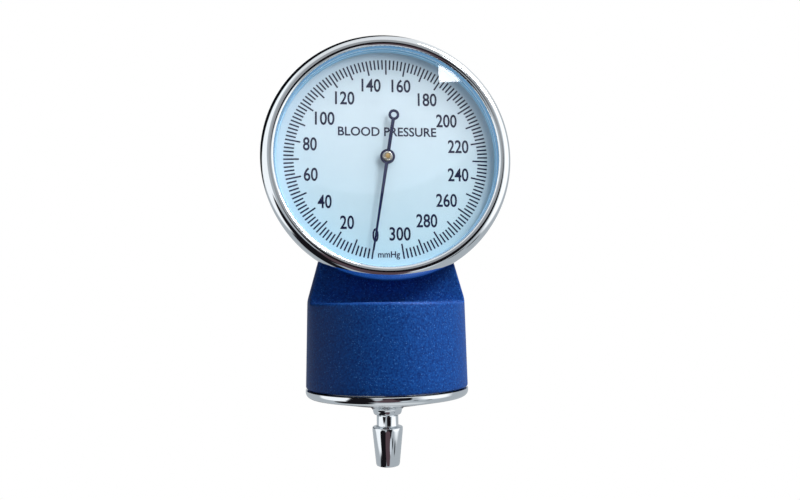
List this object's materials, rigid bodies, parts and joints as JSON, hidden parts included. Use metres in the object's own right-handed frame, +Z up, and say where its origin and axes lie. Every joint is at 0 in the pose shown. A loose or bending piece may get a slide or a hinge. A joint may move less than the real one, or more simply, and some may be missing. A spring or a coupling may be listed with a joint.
{
  "type": "aneroid pressure gauge head",
  "caption": "Hand-held aneroid blood pressure gauge head: round dial in a chrome bezel on a painted metal barrel, with a barbed hose nozzle below.",
  "frame": {"origin": "centre of the hose nozzle's open end, on the barrel's axis", "axes": "+Z up along the barrel's axis, from the nozzle to the dial; -Y is the way the dial faces; +X to the dial's right as it is read"},
  "size_m": [0.0568, 0.0374, 0.0984],
  "materials": {
    "navy_paint": "fine-grained navy baked enamel with a faint metallic sparkle",
    "chrome": "bright polished chrome plating",
    "clear_lens": "clear moulded acrylic",
    "printed_dial": "pale blue satin lacquer with dark navy print",
    "black_lacquer": "blue-black lacquer",
    "nickel": "polished nickel plating",
    "brass": "machined",
    "bronze": "spring temper, pressed",
    "steel": "turned",
    "rubber": "moulded"
  },
  "bodies": {
    "root": {"case_body": "navy_paint", "bezel_ring": "chrome", "lens": "clear_lens", "lens_gasket": "rubber", "dial_plate": "printed_dial", "bottom_plate": "chrome", "bottom_gasket": "rubber", "hose_nozzle": "chrome", "inlet_washer": "rubber", "inlet_nut": "brass", "capsule_lower": "bronze", "capsule_upper": "bronze", "rod_guide": "brass", "movement_front_plate": "brass", "movement_rear_plate": "brass", "pillar_1": "brass", "pillar_2": "brass", "pillar_3": "brass", "pillar_nut_1": "steel", "pillar_nut_2": "steel", "pillar_nut_3": "steel", "mount_screw_1": "steel", "mount_screw_2": "steel", "hairspring": "bronze", "hairspring_stud": "brass"},
    "needle": {"pointer": "black_lacquer", "pointer_bush": "nickel", "pinion_arbor": "brass", "hairspring_collet": "brass"},
    "sector": {"sector_gear": "brass", "sector_arbor": "steel", "lifting_arm": "steel"},
    "push_rod": {"push_rod": "steel", "push_rod_cap": "nickel"}
  },
  "joints": [
    {"name": "needle_turn", "type": "hinge", "parent": "root", "child": "needle", "pos_m": [0, 0, 0.07], "axis": [0, 1, 0], "range_deg": [0, 342]},
    {"name": "sector_swing", "type": "hinge", "parent": "root", "child": "sector", "pos_m": [-0.0035, 0, 0.05379], "axis": [0, 1, 0], "range_deg": [-34.3, 0]},
    {"name": "push_rod_lift", "type": "slide", "parent": "root", "child": "push_rod", "axis": [0, 0, 1], "range_m": [0, 0.00206], "stiffness_N_per_m": 5000, "deforming": ["capsule_upper"]}
  ],
  "couplings": [
    {"joint": "sector_swing", "follows": "push_rod_lift", "rad_per_m": -290},
    {"joint": "needle_turn", "follows": "push_rod_lift", "rad_per_m": 2900}
  ]
}
